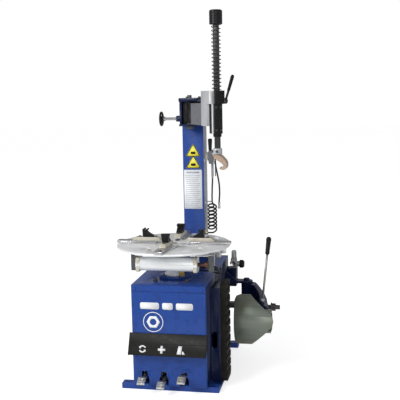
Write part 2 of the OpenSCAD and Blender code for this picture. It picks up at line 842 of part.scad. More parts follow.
module supply_lead() { color(BLACK) tube(lead_route, hose_d / 2, 10); }
module delivery_hose() { color(BLACK) tube(delivery_route, hose_d / 2, 10); }

module air_chuck() {
    p = delivery_route[len(delivery_route) - 1];
    color(BRASS) {
        bar_z([p[0], p[1], p[2] - 20], 6, 20);
        bar_z([p[0], p[1], p[2] - 34], 7.5, 14);
        translate([p[0], p[1], p[2] - 34]) sphere(r = 7.5);
    }
}

module fasteners() {
    color(BLACK) {
        for (p = [[-79, -106], [-73, 95], [90, -106], [90, 95]])
            translate([p[0], p[1], cab_top]) bolt(17, 12);
        for (a = [45:90:315]) rotate(a) translate([66, 0, cab_top + 10]) bolt(13, 9);
        for (x = [-39, 109], y = [col_front - 8, col_front + col_d + 8])
            translate([x, y, cab_top + 12]) bolt(19, 13);
        for (x = [-6, 66]) translate([x, 460, bracket_top]) bolt(13, 8);
        for (z = [80, 280, 480]) translate([support_right + 32, -10, z]) rotate([0, 90, 0])
            bolt(10, 4);
        for (y = [-140, 160], z = [125, 485]) translate([side_x, y, z]) rotate([0, -90, 0])
            bolt(8, 5);
    }
}

base_frame();
cabinet_shell();
side_cover();
hood_cover();
wheel_support_box();
rubber_pad();
pedal_frame();
pedal_left();
pedal_middle();
pedal_right();
gearbox_housing();
motor();
v_belt();
motor_pulley();
worm_shaft();
hub_housing();
spindle();
turntable_disc();
jaw_slide_a();
jaw_slide_b();
jaw_slide_c();
jaw_slide_d();
jaw_a();
jaw_b();
jaw_c();
jaw_d();
front_barrel();
front_rod();
rear_barrel();
rear_rod();
column();
arm_bracket();
pivot_pin();
stop_screw();
handwheel();
swing_arm();
arm_head();
head_cover();
lock_lever();
hex_shaft();
shaft_cap();
return_spring();
mount_head();
bead_cylinder();
bead_rod();
bead_arm_bracket();
bead_arm();
bead_blade();
bead_handle();
air_box();
air_filter();
regulator_knob();
column_fittings();
gun_body();
gun_lever();
supply_coil();
supply_lead();
delivery_hose();
air_chuck();
fasteners();
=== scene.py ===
"""The looks of a swing-arm tyre changer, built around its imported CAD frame.

Lengths are in metres. +X is to the right seen from the front, +Y to the back and +Z up.
"""
import math

import bmesh
import bpy
from mathutils import Matrix, Vector


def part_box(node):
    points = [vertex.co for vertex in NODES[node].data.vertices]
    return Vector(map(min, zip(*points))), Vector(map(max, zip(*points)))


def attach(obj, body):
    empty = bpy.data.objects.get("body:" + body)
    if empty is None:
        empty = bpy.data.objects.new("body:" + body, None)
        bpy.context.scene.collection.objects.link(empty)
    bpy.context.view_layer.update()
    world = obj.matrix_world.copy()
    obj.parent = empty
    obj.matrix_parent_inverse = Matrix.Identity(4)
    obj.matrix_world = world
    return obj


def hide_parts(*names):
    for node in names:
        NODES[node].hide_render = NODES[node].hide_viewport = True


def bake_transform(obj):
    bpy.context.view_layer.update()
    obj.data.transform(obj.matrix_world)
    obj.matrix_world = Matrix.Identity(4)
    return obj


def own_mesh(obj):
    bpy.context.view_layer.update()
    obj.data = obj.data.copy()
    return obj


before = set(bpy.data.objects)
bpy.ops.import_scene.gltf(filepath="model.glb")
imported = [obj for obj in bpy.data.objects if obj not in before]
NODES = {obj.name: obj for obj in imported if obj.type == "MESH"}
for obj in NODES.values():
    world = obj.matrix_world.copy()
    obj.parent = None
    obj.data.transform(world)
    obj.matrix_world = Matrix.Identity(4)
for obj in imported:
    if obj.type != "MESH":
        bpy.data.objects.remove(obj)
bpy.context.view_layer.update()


# ---- Camera, light and floor -------------------------------------------------------

CAMERA_PLACE = (0.893, -3.944, 1.527)
# Yaw, pitch and roll, in degrees
CAMERA_TURN = (10.827, 7.717, -1.063)
# Focal length and sensor width, in millimetres
FOCAL_LENGTH = 69.67
SENSOR_WIDTH = 36
LENS_SHIFT = (0.0035, -0.0054)
# Each strength as a light, then as the camera sees it
BACKDROP = (0.36, 1.0)
FLOOR_GLOW = (0.08, 0.66)
FLOOR_REACH = 30


def add_camera():
    """A camera a little to the right of the machine's middle, slightly above it and tilted."""
    yaw, pitch, roll = (math.radians(a) for a in CAMERA_TURN)
    ahead = Vector((-math.sin(yaw) * math.cos(pitch), math.cos(yaw) * math.cos(pitch),
                    -math.sin(pitch)))
    right = Vector((math.cos(yaw), math.sin(yaw), 0))
    up = right.cross(ahead)
    turned_right = math.cos(roll) * right + math.sin(roll) * up
    turned_up = math.cos(roll) * up - math.sin(roll) * right
    data = bpy.data.cameras.new("camera")
    data.lens = FOCAL_LENGTH
    data.sensor_width = SENSOR_WIDTH
    data.shift_x, data.shift_y = LENS_SHIFT
    data.clip_end = 50
    camera = bpy.data.objects.new("camera", data)
    turn = Matrix((turned_right, turned_up, -ahead)).transposed().to_4x4()
    camera.matrix_world = Matrix.Translation(CAMERA_PLACE) @ turn
    bpy.context.scene.collection.objects.link(camera)
    bpy.context.scene.camera = camera


def add_area_light(name, place, target, size, power):
    """A white rectangular light that faces its target."""
    data = bpy.data.lights.new(name, "AREA")
    data.shape = "RECTANGLE"
    data.size, data.size_y = size
    data.energy = power
    light = bpy.data.objects.new(name, data)
    light.location = place
    light.rotation_euler = (Vector(target) - Vector(place)).to_track_quat("-Z", "Y").to_euler()
    bpy.context.scene.collection.objects.link(light)


def seen_brighter(tree, strength, lit, seen):
    """Set a strength to one value for the light it gives and to another as the camera sees it."""
    rays = tree.nodes.new("ShaderNodeLightPath")
    choice = tree.nodes.new("ShaderNodeMapRange")
    choice.inputs["To Min"].default_value = lit
    choice.inputs["To Max"].default_value = seen
    tree.links.new(rays.outputs["Is Camera Ray"], choice.inputs["Value"])
    tree.links.new(choice.outputs["Result"], strength)


def add_studio():
    """A pale floor and a white surround, dimmer as a light than as a backdrop, and three lights."""
    world = bpy.data.worlds.new("studio")
    world.use_nodes = True
    tree = world.node_tree
    background = tree.nodes["Background"]
    background.inputs["Color"].default_value = (1, 1, 1, 1)
    seen_brighter(tree, background.inputs["Strength"], *BACKDROP)
    bpy.context.scene.world = world
    bpy.context.scene.view_settings.view_transform = "Standard"
    middle = (0, 0, 0.9)
    add_area_light("key", (-2.6, -3.2, 3.4), middle, (2.2, 2.2), 150)
    add_area_light("side", (3.6, 0.4, 1.8), middle, (1.2, 3.0), 6)
    add_area_light("front", (1.6, -4.4, 1.2), (0, 0, 0.5), (1.5, 1.5), 26)
    mesh = bpy.data.meshes.new("floor")
    r = FLOOR_REACH
    mesh.from_pydata([(-r, -r, 0), (r, -r, 0), (r, r, 0), (-r, r, 0)], [], [(0, 1, 2, 3)])
    floor = bpy.data.objects.new("floor", mesh)
    bpy.context.scene.collection.objects.link(floor)
    pale = surface("pale_floor", (0.92, 0.92, 0.92), rough=0.6, mottle=0.02, scale=3, bump=0.02)
    glow = pale.node_tree.nodes["Principled BSDF"].inputs
    glow["Emission Color"].default_value = (1, 1, 1, 1)
    seen_brighter(pale.node_tree, glow["Emission Strength"], *FLOOR_GLOW)
    mesh.materials.append(pale)


# ---- Materials ---------------------------------------------------------------------

# Where the noise passes from one value to the next: fine tones, patches of dirt and gloss
TONE_SPAN = (0.32, 0.68)
DIRT_SPAN = (0.50, 0.74)
GLOSS_SPAN = (0.3, 0.7)
# How much coarser the broad noise is than the fine noise
BROADER = 9
COAT_ROUGHNESS = 0.06
BUMP_DEPTH = 0.001


def surface(name, colour, metal=0.0, rough=0.5, mottle=0.08, scale=40, bump=0.05, grain=None,
            coat=0.0, dirt=None, shine=0.5):
    """A material whose colour, roughness and height vary with layers of noise.

    grain stretches the noise along an axis, and dirt is a second colour that gathers in patches.
    """
    made = bpy.data.materials.new(name)
    made.use_nodes = True
    new, link = made.node_tree.nodes.new, made.node_tree.links.new
    shader = made.node_tree.nodes["Principled BSDF"].inputs
    shader["Metallic"].default_value = metal
    shader["Coat Weight"].default_value = coat
    shader["Coat Roughness"].default_value = COAT_ROUGHNESS
    shader["Specular IOR Level"].default_value = shine
    place = new("ShaderNodeTexCoord")
    stretch = new("ShaderNodeMapping")
    stretch.inputs["Scale"].default_value = grain or (1, 1, 1)
    link(place.outputs["Object"], stretch.inputs["Vector"])
    fine = new("ShaderNodeTexNoise")
    fine.inputs["Scale"].default_value = scale
    fine.inputs["Detail"].default_value = 6
    fine.inputs["Roughness"].default_value = 0.6
    link(stretch.outputs["Vector"], fine.inputs["Vector"])
    broad = new("ShaderNodeTexNoise")
    broad.inputs["Scale"].default_value = scale / BROADER
    broad.inputs["Detail"].default_value = 4
    link(place.outputs["Object"], broad.inputs["Vector"])
    tones = new("ShaderNodeValToRGB")
    for step, at, share in zip(tones.color_ramp.elements, TONE_SPAN, (1 - mottle, 1 + mottle)):
        step.position = at
        step.color = (*(min(1, c * share) for c in colour), 1)
    link(fine.outputs["Fac"], tones.inputs["Fac"])
    colour_out = tones.outputs["Color"]
    if dirt:
        patches = new("ShaderNodeValToRGB")
        for step, at in zip(patches.color_ramp.elements, DIRT_SPAN):
            step.position = at
        link(broad.outputs["Fac"], patches.inputs["Fac"])
        mix = new("ShaderNodeMix")
        mix.data_type = "RGBA"
        link(patches.outputs["Color"], mix.inputs["Factor"])
        link(colour_out, mix.inputs["A"])
        mix.inputs["B"].default_value = (*dirt, 1)
        colour_out = mix.outputs["Result"]
    link(colour_out, shader["Base Color"])
    gloss = new("ShaderNodeMapRange")
    spread = 0.08
    for socket, value in zip(("From Min", "From Max", "To Min", "To Max"),
                             (*GLOSS_SPAN, max(0.02, rough - spread), min(1, rough + spread))):
        gloss.inputs[socket].default_value = value
    link(broad.outputs["Fac"], gloss.inputs["Value"])
    link(gloss.outputs["Result"], shader["Roughness"])
    height = new("ShaderNodeBump")
    height.inputs["Strength"].default_value = bump
    height.inputs["Distance"].default_value = BUMP_DEPTH
    link(fine.outputs["Fac"], height.inputs["Height"])
    link(height.outputs["Normal"], shader["Normal"])
    return made


# Scales of the noise that draw it out along an axis
ALONG_X = (0.06, 1, 1)
ALONG_Z = (1, 1, 0.06)
LOOKS = {
    "blue": surface("blue_enamel", (0.018, 0.064, 0.300), rough=0.30, mottle=0.05, scale=260,
                    bump=0.05, coat=0.12, shine=0.25, dirt=(0.014, 0.046, 0.22)),
    "navy": surface("navy_enamel", (0.008, 0.015, 0.060), rough=0.30, mottle=0.10, scale=260,
                    bump=0.05, coat=0.08, shine=0.2, dirt=(0.010, 0.016, 0.045)),
    "hood": surface("black_powder_coat", (0.016, 0.016, 0.015), rough=0.45, mottle=0.2,
                    scale=500, bump=0.18, shine=0.15, dirt=(0.022, 0.022, 0.020)),
    "rubber": surface("moulded_rubber", (0.012, 0.011, 0.009), rough=0.62, mottle=0.25,
                      scale=220, bump=0.25, shine=0.2, dirt=(0.030, 0.025, 0.017)),
    "arm_grey": surface("grey_enamel", (0.150, 0.155, 0.175), rough=0.38, mottle=0.05, scale=300,
                        bump=0.06, coat=0.1, shine=0.3, dirt=(0.12, 0.125, 0.145)),
    "head_grey": surface("light_machined", (0.50, 0.51, 0.53), metal=0.15, rough=0.36, mottle=0.05,
                         scale=120, bump=0.08, grain=ALONG_Z, dirt=(0.44, 0.46, 0.48)),
    "disc": surface("turned_steel", (0.93, 0.94, 0.95), metal=0.3, rough=0.34, mottle=0.04,
                    scale=90, bump=0.06, dirt=(0.86, 0.87, 0.87)),
    "steel": surface("bright_steel", (0.58, 0.58, 0.60), metal=0.95, rough=0.27, mottle=0.10,
                     scale=150, bump=0.06, dirt=(0.42, 0.42, 0.42)),
    "zinc": surface("zinc_plate", (0.52, 0.53, 0.54), metal=0.9, rough=0.36, mottle=0.16,
                    scale=70, bump=0.08, dirt=(0.38, 0.36, 0.30)),
    "barrel": surface("drawn_aluminium", (0.86, 0.88, 0.89), metal=0.3, rough=0.34,
                      mottle=0.06, scale=160, bump=0.05, grain=ALONG_X,
                      dirt=(0.84, 0.86, 0.87)),
    "jaw": surface("cast_jaw_steel", (0.62, 0.59, 0.50), metal=0.25, rough=0.46, mottle=0.12,
                   scale=120, bump=0.2, dirt=(0.46, 0.42, 0.33)),
    "plastic": surface("black_plastic", (0.011, 0.011, 0.011), rough=0.40, mottle=0.2, scale=400,
                       bump=0.12, shine=0.2, dirt=(0.016, 0.016, 0.016)),
    "bronze": surface("bronze_casting", (0.46, 0.34, 0.25), metal=0.25, rough=0.40,
                      mottle=0.28, scale=90, bump=0.3, dirt=(0.62, 0.52, 0.42)),
    "brass": surface("brass", (0.62, 0.44, 0.16), metal=1.0, rough=0.28, mottle=0.10, scale=120,
                     bump=0.06, dirt=(0.45, 0.30, 0.10)),
    "blade": surface("rolled_blade_steel", (0.215, 0.245, 0.205), metal=0.5, rough=0.36,
                     mottle=0.10, scale=55, bump=0.10, grain=ALONG_X, shine=0.3,
                     dirt=(0.180, 0.190, 0.125)),
    "spring": surface("spring_wire", (0.10, 0.10, 0.105), metal=0.5, rough=0.32, mottle=0.15,
                      scale=200, bump=0.08),
    "hex": surface("hexagon_bar", (0.022, 0.022, 0.022), metal=0.2, rough=0.34, mottle=0.12,
                   scale=140, bump=0.06, grain=ALONG_Z),
    "iron": surface("dark_iron", (0.08, 0.085, 0.09), metal=0.4, rough=0.55, mottle=0.2,
                    scale=120, bump=0.3),
    "hose": surface("hose_rubber", (0.008, 0.008, 0.010), rough=0.32, mottle=0.2, scale=300,
                    bump=0.08, shine=0.3),
    "white": surface("white_print", (0.93, 0.94, 0.96), rough=0.42, mottle=0.03, scale=200,
                     bump=0.02),
    "label": surface("label_film", (0.93, 0.95, 0.98), rough=0.36, mottle=0.03, scale=120,
                     bump=0.02),
    "ink": surface("label_ink", (0.42, 0.46, 0.56), rough=0.45, mottle=0.1, scale=200, bump=0.02),
    "yellow": surface("sign_yellow", (0.86, 0.78, 0.06), rough=0.40, mottle=0.04, scale=150,
                      bump=0.02),
    "dial": surface("dial_white", (0.88, 0.88, 0.86), rough=0.25, mottle=0.02, scale=100,
                    bump=0.01, coat=0.5),
    "bowl": surface("grey_bowl", (0.30, 0.31, 0.31), rough=0.28, mottle=0.08, scale=90,
                    bump=0.05, coat=0.3),
    # Light grey for the painted reflection on the column's right side
    "panel": surface("side_panel_grey", (0.46, 0.48, 0.55), rough=0.35, mottle=0.05, scale=120,
                     bump=0.05),
    "red_brown": surface("primed_steel", (0.085, 0.040, 0.028), metal=0.5, rough=0.45,
                         mottle=0.2, scale=150, bump=0.15),
}


# ---- Pieces ------------------------------------------------------------------------

# The angle in degrees beyond which an edge is bevelled
SHARP = 32


def dress(look, *nodes, edge=0.0012, angle=SHARP):
    """Give CAD nodes a material and soften their sharp edges."""
    for name in nodes:
        node = NODES[name]
        if not node.material_slots:
            node.data.materials.append(None)
        for entry in node.material_slots:
            entry.material = LOOKS[look]
        round_edges(node, edge, angle, weld=True)


def round_edges(piece, width, angle, weld=False):
    """Bevel the edges sharper than an angle, once loose corners are welded if that is asked."""
    if weld:
        merge = piece.modifiers.new("weld", "WELD")
        merge.merge_threshold = 0.00001
    bevel = piece.modifiers.new("bevel", "BEVEL")
    bevel.width = width
    bevel.segments = 2
    bevel.limit_method = "ANGLE"
    bevel.angle_limit = math.radians(angle)
    bevel.harden_normals = True
    piece.data.shade_smooth()


def add_piece(name, mesh, look, body="cabinet", edge=0.0):
    """A mesh as a new piece that rides on a body, or on none when body is None."""
    mesh.name = name
    piece = bpy.data.objects.new(name, mesh)
    bpy.context.scene.collection.objects.link(piece)
    mesh.materials.clear()
    mesh.materials.append(LOOKS[look])
    if edge:
        round_edges(piece, edge, SHARP)
    else:
        mesh.shade_smooth()
    if body:
        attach(piece, body)
    return piece


def new_mesh(points, faces):
    """A mesh whose faces all look outwards."""
    mesh = bpy.data.meshes.new("mesh")
    mesh.from_pydata([tuple(p) for p in points], [], faces)
    shell = bmesh.new()
    shell.from_mesh(mesh)
    bmesh.ops.recalc_face_normals(shell, faces=shell.faces)
    shell.to_mesh(mesh)
    shell.free()
    mesh.update()
    return mesh


def joined(meshes):
    """One mesh from several."""
    whole = bmesh.new()
    for mesh in meshes:
        whole.from_mesh(mesh)
    result = bpy.data.meshes.new("mesh")
    whole.to_mesh(result)
    whole.free()
    return result


def frame_at(origin, out, top=(0, 0, 1)):
    """A placing matrix: local Z points out, and local Y leans towards top."""
    z = Vector(out).normalized()
    x = Vector(top).cross(z).normalized()
    turn = Matrix((x, z.cross(x), z)).transposed().to_4x4()
    return Matrix.Translation(origin) @ turn


def polar(r, degrees):
    """A point at a distance from the origin and at an angle in degrees."""
    a = math.radians(degrees)
    return r * math.cos(a), r * math.sin(a)


def around(r, steps):
    """Points on a circle."""
    return [polar(r, 360 * i / steps) for i in range(steps)]


def turned(profile, origin, axis=(0, 0, 1), steps=48):
    """A solid of revolution from (radius, height) points."""
    place = frame_at(origin, axis, (0, 1, 0) if abs(Vector(axis).z) > 0.9 else (0, 0, 1))
    points, faces = [], []
    for x, y in around(1, steps):
        points += [place @ Vector((r * x, r * y, h)) for r, h in profile]
    n = len(profile)
    for i in range(steps):
        j = (i + 1) % steps
        faces += [(i * n + k, j * n + k, j * n + k + 1, i * n + k + 1) for k in range(n - 1)]
    faces.append([i * n for i in reversed(range(steps))])
    faces.append([i * n + n - 1 for i in range(steps)])
    return new_mesh(points, faces)


def prism(outline, low, high, place=Matrix.Identity(4)):
    """An outline in local X and Y, extruded in local Z from low to high."""
    n = len(outline)
    points = [place @ Vector((x, y, z)) for z in (low, high) for x, y in outline]
    faces = [list(reversed(range(n))), [n + i for i in range(n)]]
    faces += [(i, (i + 1) % n, n + (i + 1) % n, n + i) for i in range(n)]
    return new_mesh(points, faces)


def block(low, high):
    """A box given by its two opposite corners."""
    (x0, y0, z0), (x1, y1, z1) = low, high
    return prism([(x0, y0), (x1, y0), (x1, y1), (x0, y1)], z0, z1)


def ring(outer, inner, low, high, place=Matrix.Identity(4)):
    """A flat ring between two outlines with the same number of points."""
    n = len(outer)
    points = [place @ Vector((x, y, z)) for z in (low, high) for x, y in outer + inner]
    faces = []
    for i in range(n):
        j = (i + 1) % n
        faces += [(i, j, n + j, n + i), (2 * n + i, 3 * n + i, 3 * n + j, 2 * n + j),
                  (i, 2 * n + i, 2 * n + j, j), (n + i, n + j, 3 * n + j, 3 * n + i)]
    return new_mesh(points, faces)


def rounded_outline(x0, y0, x1, y1, r):
    """A rectangle with round corners, given by its two opposite corners."""
    steps = 5
    corners = ((x1 - r, y1 - r, 0), (x0 + r, y1 - r, 90), (x0 + r, y0 + r, 180),
               (x1 - r, y0 + r, 270))
    return [(cx + x, cy + y) for cx, cy, a in corners
            for x, y in (polar(r, a + 90 * i / steps) for i in range(steps + 1))]


def swept(route, r, sides=12):
    """A round tube along a route of points, with the rings kept from twisting."""
    points, faces = [], []
    route = [Vector(p) for p in route]
    last = len(route) - 1
    way = (route[1] - route[0]).normalized()
    side = way.orthogonal().normalized()
    for i, p in enumerate(route):
        ahead = (route[min(i + 1, last)] - route[max(i - 1, 0)]).normalized()
        side = (side - ahead * side.dot(ahead)).normalized()
        across = ahead.cross(side)
        points += [p + x * side + y * across for x, y in around(r, sides)]
    for i in range(last):
        for j in range(sides):
            k = (j + 1) % sides
            faces.append((i * sides + j, i * sides + k, (i + 1) * sides + k,
                          (i + 1) * sides + j))
    faces.append(list(reversed(range(sides))))
    faces.append([last * sides + j for j in range(sides)])
    return new_mesh(points, faces)


def smooth_route(points, steps):
    """A Catmull-Rom curve through the points."""
    p = [Vector(q) for q in points]
    p = [2 * p[0] - p[1]] + p + [2 * p[-1] - p[-2]]
    route = []
    for i in range(1, len(p) - 2):
        for s in range(steps):
            t = s / steps
            a, b, c, d = p[i - 1:i + 3]
            route.append(0.5 * (2 * b + (c - a) * t + (2 * a - 5 * b + 4 * c - d) * t * t
                                + (3 * b - a - 3 * c + d) * t ** 3))
    return route + [p[-2]]


# ---- Sizes and places --------------------------------------------------------------

# Boxes of the CAD nodes
cab_low, cab_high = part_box("cabinet_shell")
col_low, col_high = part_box("column")
disc_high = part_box("turntable_disc")[1]
hex_low, hex_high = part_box("hex_shaft")
spring_low, spring_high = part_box("return_spring")
pad_low, pad_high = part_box("rubber_pad")
# The hexagonal shaft's axis and travel, the arm head's top and the arm's pivot axis
SHAFT = ((hex_low + hex_high) / 2).to_2d()
PIVOT = Vector((0.030, 0.350))
# The arm's direction, the one to its left and the distance from pivot to shaft
ARM_WAY = (SHAFT - PIVOT).normalized()
ARM_SIDE = Vector((-ARM_WAY.y, ARM_WAY.x))
ARM_REACH = (SHAFT - PIVOT).length
# The column's middle, and the front faces of column and cabinet
COLUMN_X = (col_low.x + col_high.x) / 2
COLUMN_FRONT = 0.400
CABINET_FRONT = cab_low.y
# Thickness of a printed mark
PRINT = 0.0006


def upright(x, y, z):
    """A placing matrix: local X to the right, local Y up and local Z to the front."""
    return frame_at((x, y, z), (0, -1, 0))


def on_front(x, z, y=CABINET_FRONT):
    """The upright placing matrix on the cabinet's front, or on another front face."""
    return upright(x, y, z)


def place_print(name, outline, place, look, lift=0.0):
    """A mark as thick as a print, at a height above a placing matrix's plane."""
    add_piece(name, prism(outline, lift, lift + PRINT, place), look)


# ---- Frame, cabinet and hood -------------------------------------------------------

def dress_frame():
    """Looks of the frame, the cabinet and the drive, with a thin dark skin of painted shade on the
    cabinet's right side and a light grey skin of painted reflection on the column's right side.
    """
    dress("blue", "cabinet_shell", "base_frame", edge=0.003)
    dress("blue", "side_cover", "column", edge=0.002)
    dress("navy", "wheel_support_box", "bead_arm_bracket", "air_box", "arm_bracket", edge=0.002)
    # Painted shade: a thin dark navy skin over the cabinet's right side, open round the oval hole,
    # makes that side darker than the lights alone would
    front, back, low, high = -0.198, 0.545, 0.034, 0.557
    hole_front, hole_back, hole_low, hole_high = 0.222, 0.326, 0.305, 0.369
    spans = [(front, hole_front, low, high), (hole_back, back, low, high),
             (hole_front, hole_back, low, hole_low), (hole_front, hole_back, hole_high, high)]
    inner, outer = 0.2065, 0.2078
    add_piece("cabinet_side_panel",
              joined([block((inner, a, c), (outer, b, d)) for a, b, c, d in spans]), "navy")
    # Painted reflection: a light grey skin on the column's right side stands in for the glancing
    # reflection on its glossy paint
    add_piece("column_side_panel", block((0.0949, 0.404, 0.578), (0.0960, 0.506, 1.340)), "panel")
    dress("navy", "bead_arm", edge=0.004)
    dress("hood", "hood_cover", edge=0.001)
    dress("rubber", "rubber_pad", edge=0.004)
    dress("iron", "gearbox_housing", "motor", "bead_cylinder", edge=0.002)
    dress("zinc", "pedal_frame", "pedal_left", "pedal_middle", "pedal_right", edge=0.0015)
    dress("iron", "fasteners", "pivot_pin", edge=0.0008)
    dress("steel", "motor_pulley", "worm_shaft", "spindle", "stop_screw", edge=0.001)
    dress("hose", "v_belt", edge=0.001)


def rotate_mark():
    """Outlines of two bent arrows that chase each other round."""
    outlines = []
    for start in (25, 205):
        angles = [start + 12 * i for i in range(11)]
        end = angles[-1]
        outlines.append([polar(0.019, a) for a in angles]
                        + [polar(0.012, a) for a in reversed(angles)])
        outlines.append([polar(0.0155, end + 26), polar(0.024, end), polar(0.007, end)])
    return outlines


def add_prints():
    """Plain white marks on the cabinet and pictograms for the pedals on the hood."""
    left, right = -0.135, 0.141
    for i, (start, end) in enumerate(((0.0, 0.36), (0.42, 0.62), (0.68, 1.0))):
        x0 = left + start * (right - left)
        x1 = left + end * (right - left)
        place_print(f"front_stripe_{i}", rounded_outline(x0, 0.437, x1, 0.472, 0.009),
                    on_front(0, 0), "white")
    emblem = on_front(-0.068, 0.370)
    count = 60
    add_piece("emblem_ring", ring(around(0.053, count), around(0.049, count), 0, PRINT, emblem),
              "white")
    corners = [Vector(c) for c in around(0.035, 6)]
    share = count // 6
    hexagon = [tuple(corners[i // share].lerp(corners[(i // share + 1) % 6], i % share / share))
               for i in range(count)]
    add_piece("emblem_nut", ring(hexagon, around(0.017, count), 0, PRINT, emblem), "white")
    # The hood's sloping face: where it starts, the way it looks and the way down it
    origin = Vector((0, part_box("hood_cover")[1].y - 0.006, 0.311))
    slope = Vector((0, -0.907, 0.421))
    down = Vector((0, -0.421, -0.907))
    arm, half = 0.019, 0.006
    cross = [(-half, -arm), (half, -arm), (half, -half), (arm, -half), (arm, half), (half, half),
             (half, arm), (-half, arm), (-half, half), (-arm, half), (-arm, -half), (-half, -half)]
    boot = [[(-0.020, -0.020), (0.003, -0.020), (0.005, 0.021), (-0.013, 0.021)],
            [(0.007, -0.020), (0.022, -0.020), (0.013, -0.006), (0.007, -0.004)]]
    for name, x, outlines in (("spin_mark", -0.118, rotate_mark()), ("clamp_mark", -0.018, [cross]),
                              ("breaker_mark", 0.082, boot)):
        place = frame_at(origin + down * 0.080 + Vector((x, 0, 0)), slope)
        add_piece(name, joined([prism(o, 0.0002, 0.0002 + PRINT, place) for o in outlines]),
                  "white")
    crease = prism([(-0.186, -0.0012), (0.205, -0.0012), (0.205, 0.0012), (-0.186, 0.0012)],
                   0, 0.0015, frame_at(origin + down * 0.052, slope))
    add_piece("hood_crease", crease, "hood", edge=0.0005)


def add_cabinet_trim():
    """Seams, screws, the back's cover and louvres, and the column's gussets and weld."""
    seam_low, seam_high = 0.528, 0.5292
    seams = [block((cab_low.x + 0.004, CABINET_FRONT - 0.0008, seam_low),
                   (cab_high.x - 0.004, CABINET_FRONT + 0.001, seam_high)),
             block((cab_high.x - 0.001, CABINET_FRONT + 0.012, seam_low),
                   (cab_high.x + 0.0006, cab_high.y - 0.07, seam_high))]
    add_piece("panel_seams", joined(seams), "navy")
    dome = [(0.0, 0.0), (0.0075, 0.0), (0.0075, 0.001), (0.0062, 0.003), (0.0035, 0.0045),
            (0.0, 0.005)]
    front, back = (0, -1, 0), (0, 1, 0)
    spots = [((x, CABINET_FRONT, z), front)
             for x, z in ((cab_low.x + 0.02, 0.544), (cab_high.x - 0.02, 0.544), (-0.165, 0.190),
                          (0.190, 0.190))]
    spots += [((cab_low.x + x, cab_high.y, z), back) for x in (0.02, 0.37)
              for z in (0.09, 0.31, 0.53)]
    add_piece("panel_screws", joined([turned(dome, p, n, steps=16) for p, n in spots]), "blue")
    cover = [(-0.150, 0.080), (0.174, 0.080), (0.174, 0.500), (-0.150, 0.500)]
    add_piece("back_cover", prism(cover, 0, 0.002, frame_at((0, cab_high.y, 0), back)), "blue",
              edge=0.001)
    slots = [block((-0.080, cab_high.y + 0.0015, 0.380 + 0.022 * i),
                   (0.080, cab_high.y + 0.0026, 0.386 + 0.022 * i)) for i in range(5)]
    add_piece("back_louvres", joined(slots), "navy")
    rib, foot = 0.006, cab_high.z + 0.012
    gussets = [prism([(0, 0), (way * 0.026, 0), (0, 0.075)], 0, rib,
                     upright(x, 0.455 + rib / 2, foot))
               for x, way in ((col_low.x + 0.028, -1), (col_high.x - 0.028, 1))]
    add_piece("column_gussets", joined(gussets), "blue", edge=0.001)
    left, right, near, far = (COLUMN_X - 0.062, COLUMN_X + 0.062, COLUMN_FRONT - 0.002, 0.512)
    corners = [Vector((x, y, foot + 0.0005)) for x, y in ((left, near), (right, near),
                                                          (right, far), (left, far))]
    weld = [corners[i].lerp(corners[(i + 1) % 4], t / 8) for i in range(4) for t in range(8)]
    add_piece("column_weld", swept(weld + weld[:1], 0.0035, sides=8), "blue")


def triangle(size):
    """An upright triangle with rounded corners."""
    tips = [(0, 0.58 * size), (-0.5 * size, -0.30 * size), (0.5 * size, -0.30 * size)]
    r = 0.06 * size
    points = []
    for i, (x, y) in enumerate(tips):
        points += [(x * 0.88 + dx, y * 0.88 + dy)
                   for dx, dy in (polar(r, 30 + 120 * i + 15 * k) for k in range(9))]
    return points


def add_signs():
    """Caution triangles without a message and a label with ruled lines, on the column."""
    for i, z in enumerate((1.192, 1.125)):
        here = on_front(COLUMN_X, z, COLUMN_FRONT)
        place_print(f"caution_plate_{i}", triangle(0.080), here, "yellow")
        add_piece(f"caution_border_{i}", ring(triangle(0.078), triangle(0.068), PRINT,
                                              2 * PRINT, here), "plastic")
        place_print(f"caution_spot_{i}", rounded_outline(-0.014, -0.012, 0.014, 0.002, 0.005),
                    here, "plastic", lift=PRINT)
    left, low, right, high = -0.021, 0.864, 0.084, 1.090
    place_print("label_film", rounded_outline(left, low, right, high, 0.003),
                on_front(0, 0, COLUMN_FRONT), "label")
    near, far = COLUMN_FRONT - 1.5 * PRINT, COLUMN_FRONT - PRINT
    rows = []
    for i in range(17):
        start = left + 0.009
        end = start + 0.086 - 0.017 * (i * 5 % 4) / 3
        z = high - 0.034 - 0.0115 * i
        rows.append(block((start, near, z), (end, far, z + 0.0022)))
    rows.append(block((left + 0.016, near, high - 0.019), (right - 0.016, far, high - 0.011)))
    add_piece("label_rows", joined(rows), "ink")


def add_pedal_treads():
    """Raised ribs across each pedal's tread."""
    for name, body, tip_z in (("pedal_left", "left_pedal", 0.076),
                              ("pedal_middle", "middle_pedal", 0.058),
                              ("pedal_right", "right_pedal", 0.090)):
        low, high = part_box(name)
        middle = (low.x + high.x) / 2
        upper = Vector((middle, -0.272, tip_z + 0.017))
        lower = Vector((middle, -0.306, tip_z - 0.004))
        along = (lower - upper).normalized()
        out = along.cross(Vector((1, 0, 0)))
        rib = rounded_outline(-0.0175, -0.0018, 0.0175, 0.0018, 0.0017)
        ribs = [prism(rib, -0.001, 0.0016, frame_at(upper.lerp(lower, t), out, along))
                for t in (0.16, 0.38, 0.60, 0.82)]
        add_piece(f"{name}_ribs", joined(ribs), "zinc", body)


# ---- Turntable ---------------------------------------------------------------------

